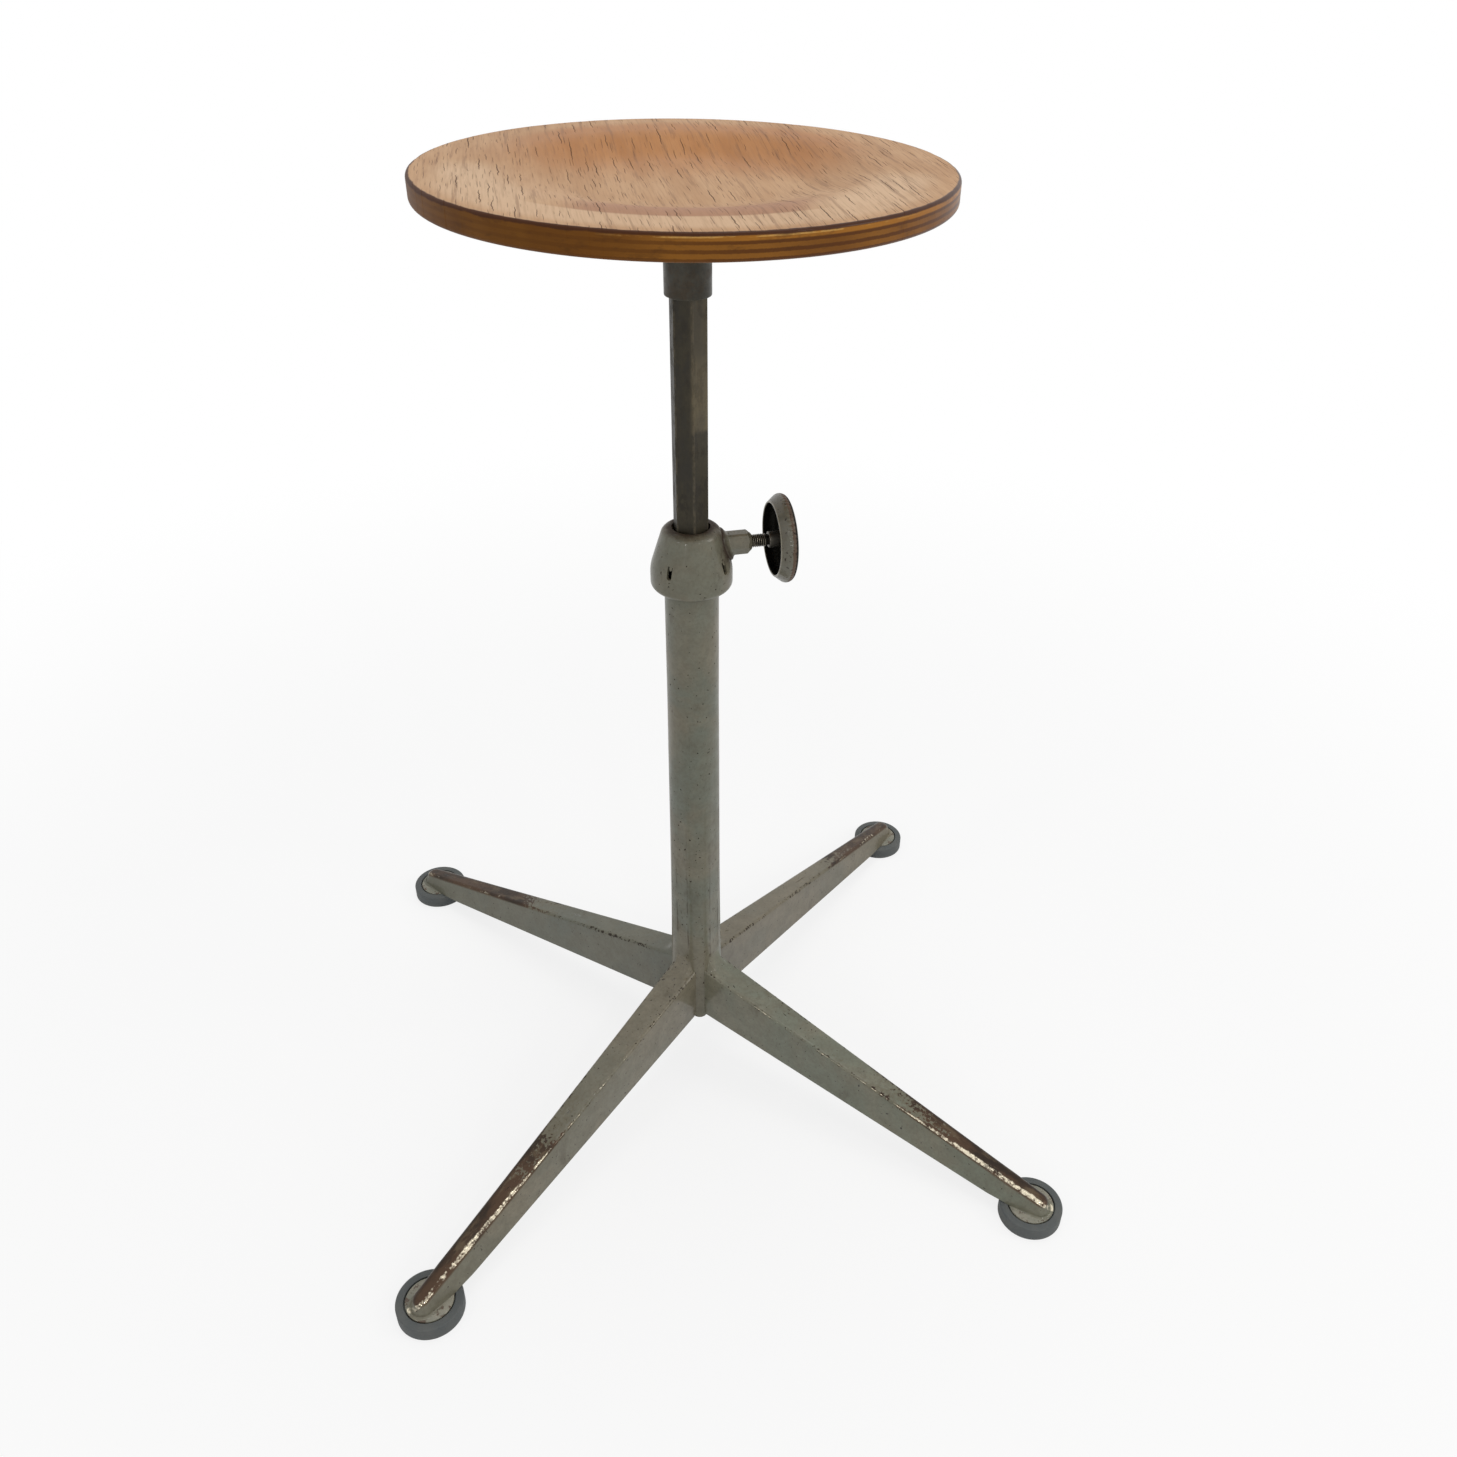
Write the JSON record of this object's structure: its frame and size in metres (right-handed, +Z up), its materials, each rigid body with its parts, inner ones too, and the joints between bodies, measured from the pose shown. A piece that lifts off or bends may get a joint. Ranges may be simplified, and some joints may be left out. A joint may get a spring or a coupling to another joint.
{
  "type": "machinist stool",
  "caption": "Height-adjustable workshop stool: round dished plywood seat swivelling on a hexagonal stem, clamped by a handwheel in a column with splayed pressed-steel legs and rubber feet.",
  "frame": {"origin": "on the floor, under the column's axis", "axes": "+Z up along the column; +X along the clamp screw towards the handwheel; -Y is the side that the picture looks at. The legs stand 3.6 degrees clockwise of the diagonals between the axes."},
  "size_m": [0.596, 0.596, 0.805],
  "materials": {
    "seat_plywood": "worn beech veneer, lacquered edge",
    "enamel": "grey-beige satin enamel, chipped and stained",
    "leg_enamel": "grey-beige satin enamel, top worn to dark rusted steel",
    "stem_steel": "dark aged steel",
    "dark_steel": "blackened steel",
    "bearing_bronze": "plain bronze",
    "foot_rubber": "blue-grey hard rubber"
  },
  "bodies": {
    "base": {"column": "enamel", "stem_guide": "dark_steel", "clamp_head": "enamel", "clamp_boss": "enamel", "leg_rear_right": "leg_enamel", "leg_rear_left": "leg_enamel", "leg_front_left": "leg_enamel", "leg_front_right": "leg_enamel", "foot_plate_rear_right": "enamel", "foot_plate_rear_left": "enamel", "foot_plate_front_left": "enamel", "foot_plate_front_right": "enamel", "rubber_foot_rear_right": "foot_rubber", "rubber_foot_rear_left": "foot_rubber", "rubber_foot_front_left": "foot_rubber", "rubber_foot_front_right": "foot_rubber", "foot_screws": "dark_steel", "foot_nuts": "dark_steel"},
    "stem_group": {"stem": "stem_steel", "stem_collar": "stem_steel", "stem_stop": "stem_steel", "stem_stop_pin": "dark_steel", "swivel_bush": "bearing_bronze", "thrust_washer": "dark_steel"},
    "seat_group": {"seat": "seat_plywood", "seat_plate": "dark_steel", "seat_screws": "dark_steel", "seat_hub": "dark_steel", "swivel_spindle": "dark_steel", "spindle_washer": "dark_steel", "spindle_clip": "dark_steel"},
    "pad_group": {"clamp_pad": "bearing_bronze"},
    "screw_group": {"clamp_screw": "dark_steel", "handwheel": "enamel", "handwheel_hub": "dark_steel", "handwheel_nut": "dark_steel"}
  },
  "joints": [
    {"name": "height_slide", "type": "slide", "parent": "base", "child": "stem_group", "axis": [0, 0, 1], "range_m": [-0.169, 0.082]},
    {"name": "seat_swivel", "type": "hinge", "parent": "stem_group", "child": "seat_group", "pos_m": [0, 0, 0.753], "axis": [0, 0, 1], "continuous": true},
    {"name": "pad_travel", "type": "slide", "parent": "base", "child": "pad_group", "axis": [1, 0, 0], "range_m": [0, 0.00451]},
    {"name": "clamp_turn", "type": "hinge", "parent": "pad_group", "child": "screw_group", "pos_m": [0.0465, 0, 0.5365], "axis": [1, 0, 0], "range_deg": [0, 1080]}
  ],
  "couplings": [
    {"joint": "pad_travel", "follows": "clamp_turn", "m_per_rad": 0.00023873}
  ]
}
